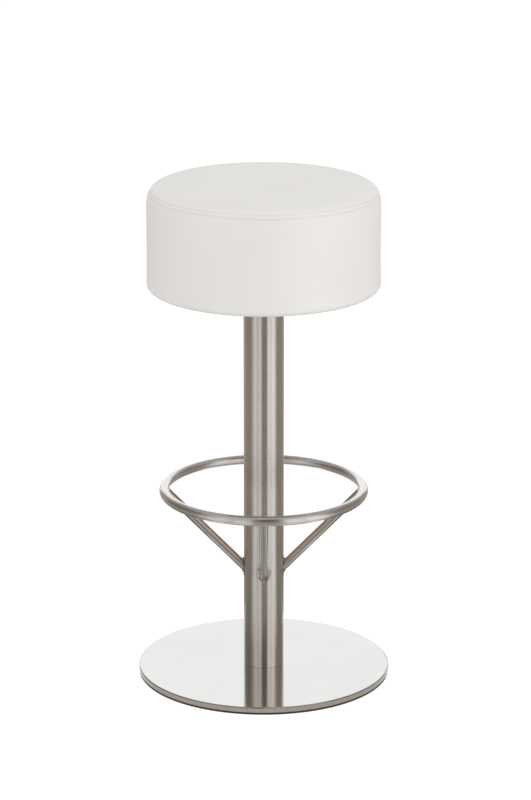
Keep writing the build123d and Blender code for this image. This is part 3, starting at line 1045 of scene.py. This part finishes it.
def bead_swelling(index, count, ripple, seed):
    """How thick a bead is at one of its steps, as a share of its radius."""
    phase = (index / count * BEAD_RIPPLES) % 1.0
    wave = RIPPLE_HEIGHT * (RIPPLE_LEVEL - abs(phase - RIPPLE_PEAK))
    uneven = BEAD_UNEVEN * noise.noise(BEAD_NOISE * Vector((index, seed, 1)))
    return BEAD_BODY + ripple * (wave + uneven)


def bead(points, normals, radius, flatness, ripple, seed):
    """A rippled bead along a closed line of points, flattened onto what it lies on."""
    count = len(points)
    ring = []
    for index, (point, normal) in enumerate(zip(points, normals)):
        forward = (points[(index + 1) % count] - points[index - 1]).normalized()
        sideways = forward.cross(normal).normalized()
        swelling = bead_swelling(index, count, ripple, seed)
        for turn in even_angles(BEAD_SIDES):
            ring.append(
                point
                + normal * (radius * swelling * flatness * math.sin(turn))
                + sideways * (radius * swelling * math.cos(turn))
                + forward * (radius * BEAD_LEAN * math.cos(turn) ** 2)
            )
    return ring, grid_faces(count, BEAD_SIDES, closed_rows=True, closed_columns=True)


def make_beads(name, passes, ripple, material):
    """Beads round all struts. passes holds curves, each with its bead's sizes."""
    shapes = []
    for strut, direction in enumerate(STRUT_DIRECTIONS.values()):
        for number, (curve, (reach, radius, flatness)) in enumerate(passes):
            points, normals = curve(direction, STRUT_RADIUS + reach)
            seed = strut + PASS_SEED * number
            shapes.append(bead(points, normals, radius, flatness, ripple, seed))
    return new_piece(name, *join(shapes), material)


def build_welds():
    """The beads at both ends of the struts, on the frame."""
    foot_passes = [(foot_curve, FOOT_BEAD), (corner_curve, CORNER_BEAD)]
    head_passes = [(head_curve, HEAD_BEAD)]
    ground_flat = brushed_steel("ground_weld_steel", 500, along(UP), RING_TONES)
    feet = make_beads("strut_foot_beads", foot_passes, FOOT_RIPPLE, weld_steel())
    heads = make_beads("strut_head_beads", head_passes, HEAD_RIPPLE, ground_flat)
    for piece, node in ((feet, "strut_foot_welds"), (heads, "strut_head_welds")):
        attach(piece, "frame")
        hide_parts(node)


# Stage: floor, world, lights, reflecting cards and camera. Azimuths are in degrees from the front,
# positive to the right.

FLOOR_RADIUS = 25.0
FLOOR_SIDES = 96
FLOOR_BOUNCE = (0.85, 0.85, 0.85)  # the floor as it lights the stool
FLOOR_SEEN = (0.35, 0.35, 0.35)  # the floor as the camera and reflections see it,
FLOOR_GLOW = 0.81  # with this glow added, so that shadows stay pale
CEILING_TONES = 0.40, 0.33  # how bright reflections see the ceiling, in front and behind
CEILING_JOINT = -0.1, 0.25  # where one turns into the other, as the Y of a direction
BACKDROP_END = 0.5, 0.62  # where the white backdrop ends, as the Z of a direction
ROOM_LIGHT = 0.735  # world brightness for all but camera, glossy and transmission rays
LIGHT_AIM = Vector((0, 0, 0.45))
CARD_STEPS = 12
CARD_DISTANCE = 3.4
CARD_HEIGHT = 3.2
CARD_RISE = 0.002  # cards on the floor lie this far above it
CARD_NEAR = 0.26  # and start this far from the axis
DIM_TONES = 0.55, 1.0  # their brightness by the base and further out
DIM_REACH = 0.28, 1.2
DARK = np.array((1.0, 0.9, 0.8))  # tints: an unlit part of the studio,
WARM = np.array((1.0, 0.95, 0.9))  # a lit wall panel
PALE = np.array((1.0, 1.0, 1.02))  # and the lit floor


def seen_directly(tree):
    """1 for camera, glossy and transmission rays, 0 for the rest."""
    path = add_node(tree, "ShaderNodeLightPath").outputs
    total = math_node(tree, "ADD", path["Is Camera Ray"], path["Is Glossy Ray"])
    total = math_node(tree, "ADD", total, path["Is Transmission Ray"])
    return math_node(tree, "MINIMUM", total, 1.0)


def build_floor():
    """A pale floor that keeps the stool's shadow and runs into the white background."""
    material, tree, surface = empty_material("floor")
    bounce = add_node(tree, "ShaderNodeBsdfDiffuse", {"Color": FLOOR_BOUNCE}).outputs[0]
    shade = add_node(tree, "ShaderNodeBsdfDiffuse", {"Color": FLOOR_SEEN}).outputs[0]
    light = add_node(tree, "ShaderNodeEmission", {"Strength": FLOOR_GLOW}).outputs[0]
    seen = add_node(tree, "ShaderNodeAddShader", {0: shade, 1: light}).outputs[0]
    lit = add_node(tree, "ShaderNodeMixShader", {0: seen_directly(tree), 1: bounce, 2: seen})
    feed(surface, lit.outputs[0])
    points = ring_points([(FLOOR_RADIUS, 0)], even_angles(FLOOR_SIDES))
    floor = new_piece("floor", points, [tuple(range(FLOOR_SIDES))], material)


def build_world():
    """A white backdrop with a dimmer ceiling, and the room's even light."""
    world = bpy.data.worlds.new("studio")
    bpy.context.scene.world = world
    world.use_nodes = True
    tree = world.node_tree
    background = tree.nodes["Background"]
    feed(background.inputs["Color"], (1, 1, 1))
    way = add_node(tree, "ShaderNodeTexCoord").outputs["Generated"]
    part = add_node(tree, "ShaderNodeSeparateXYZ", {"Vector": way}).outputs
    ceiling = remap(tree, part["Y"], *CEILING_TONES, *CEILING_JOINT)
    backdrop = remap(tree, part["Z"], 1.0, 0.0, *BACKDROP_END)
    seen = math_node(tree, "MAXIMUM", ceiling, backdrop)
    settings = {0: seen_directly(tree), 2: ROOM_LIGHT, 3: seen}
    strength = add_node(tree, "ShaderNodeMix", settings).outputs[0]
    feed(background.inputs["Strength"], strength)


def softbox(name, azimuth, distance, height, size, power):
    """A large lamp aimed at the stool, which neither the camera nor reflections see."""
    light = bpy.data.lights.new(name, "AREA")
    light.shape = "RECTANGLE"
    light.size, light.size_y = size
    light.energy = power
    lamp = bpy.data.objects.new(name, light)
    bpy.context.scene.collection.objects.link(lamp)
    lamp.location = turned((0, -distance, height), azimuth)
    lamp.rotation_euler = (LIGHT_AIM - lamp.location).to_track_quat("-Z", "Y").to_euler()
    lamp.visible_camera = False
    lamp.visible_glossy = False


def build_lights():
    """A key light on the right, a fill light on the left and one overhead."""
    softbox("key", azimuth=54, distance=3.6, height=1.4, size=(4.2, 2.4), power=42)
    softbox("fill", azimuth=-61, distance=3.8, height=1.4, size=(5.6, 2.4), power=32)
    softbox("overhead", azimuth=180, distance=0.6, height=3.6, size=(3.0, 3.0), power=20)


def glow(name, colour):
    """A surface that looks the same from everywhere."""
    material, tree, surface = empty_material(name)
    shine = add_node(tree, "ShaderNodeEmission", {"Color": colour, "Strength": 1.0})
    feed(surface, shine.outputs[0])
    return material


def shade_near_base(tree):
    """Dim a glowing floor towards the base, where the stool itself takes some of the light."""
    point = add_node(tree, "ShaderNodeTexCoord").outputs["Object"]
    length = add_node(tree, "ShaderNodeVectorMath", {0: point}, operation="LENGTH")
    strength = remap(tree, length.outputs["Value"], *DIM_TONES, *DIM_REACH)
    feed(tree.nodes["Emission"].inputs["Strength"], strength)


def card_strip(name, start, end, inner, outer, colour):
    """A strip of card that only reflections see, between two azimuths and two (distance, height)."""
    points = []
    for step in range(CARD_STEPS + 1):
        azimuth = start + (end - start) * step / CARD_STEPS
        for distance, height in (inner, outer):
            points.append(turned((0, -distance, height), azimuth))
    strip = new_piece(name, points, grid_faces(CARD_STEPS + 1, 2), glow(name, colour))
    for ray in ("camera", "diffuse", "transmission", "volume_scatter", "shadow"):
        setattr(strip, f"visible_{ray}", False)
    return strip


def wall_card(name, start, end, colour, height=CARD_HEIGHT):
    """An upright card at the end of the studio."""
    foot, top = (CARD_DISTANCE, CARD_RISE), (CARD_DISTANCE, height)
    card_strip(f"{name}_wall", start, end, foot, top, colour)


def ground_card(name, start, end, colour, near=CARD_NEAR):
    """A card on the floor, dimmed towards the base."""
    inner, outer = (near, CARD_RISE), (CARD_DISTANCE, CARD_RISE)
    strip = card_strip(f"{name}_ground", start, end, inner, outer, colour)
    shade_near_base(strip.data.materials[0].node_tree)


def card(name, start, end, wall, ground):
    """A wall card and the floor in front of it."""
    wall_card(name, start, end, wall)
    ground_card(name, start, end, ground)


def build_cards():
    """The studio as the steel reflects it, round from the front: dark gaps between lit panels. Each
    card has its two azimuths, and the brightness of its wall and of its floor."""
    right_floor, left_floor, gap_floor = 1.05 * PALE, 0.83 * PALE, 0.33 * DARK
    wall_card("gap_front", -12, 21, 0.07 * DARK, height=4.5)
    ground_card("gap_front", -12, 21, 0.36 * DARK, near=0.235)
    card("right_panel_near", 21, 40, 0.80 * WARM, 0.96 * PALE)
    card("right_panel_joint", 40, 46, 0.52 * WARM, 0.80 * PALE)
    card("right_panel_far", 46, 63, 0.86 * WARM, right_floor)
    card("right_panel_edge", 63, 70, 0.6 * WARM, right_floor)
    card("right_panel_end", 70, 79, 0.3 * WARM, 0.53 * PALE)
    wall_card("gap_right", 79, 125, 0.20 * DARK)
    ground_card("gap_right", 79, 125, gap_floor, near=0.22)
    wall_card("gap_right_end", 125, 151, 0.31 * DARK)
    ground_card("gap_right_end", 125, 168, 0.35 * DARK)
    card("left_panel_near", -32, -12, 0.56 * WARM, left_floor)
    card("left_panel_joint", -38, -32, 0.36 * WARM, 0.48 * PALE)
    card("left_panel_far", -50, -38, 0.63 * WARM, left_floor)
    card("left_panel_edge", -62, -50, 0.48 * WARM, left_floor)
    card("left_panel_end", -73, -62, 0.28 * WARM, 0.5 * PALE)
    wall_card("gap_left", -125, -73, 0.15 * DARK)
    ground_card("gap_left", -125, -73, gap_floor, near=0.215)
    wall_card("gap_left_end", -151, -125, 0.31 * DARK)
    ground_card("gap_left_end", -168, -125, 0.42 * DARK)


def build_camera():
    """The photograph's camera."""
    data = bpy.data.cameras.new("camera")
    data.sensor_fit = "AUTO"
    data.sensor_width = SENSOR
    data.lens = SENSOR * FOCAL_PIXELS / PHOTO_LONG_SIDE
    data.clip_end = CAMERA_REACH
    camera = bpy.data.objects.new("camera", data)
    bpy.context.scene.collection.objects.link(camera)
    camera.location = CAMERA_PLACE
    camera.rotation_euler = (math.pi / 2 - CAMERA_PITCH, 0, 0)
    bpy.context.scene.camera = camera


bpy.context.scene.view_settings.view_transform = "Standard"
build_camera()
dress_cad_nodes()
build_seat()
build_welds()
build_floor()
build_world()
build_lights()
build_cards()
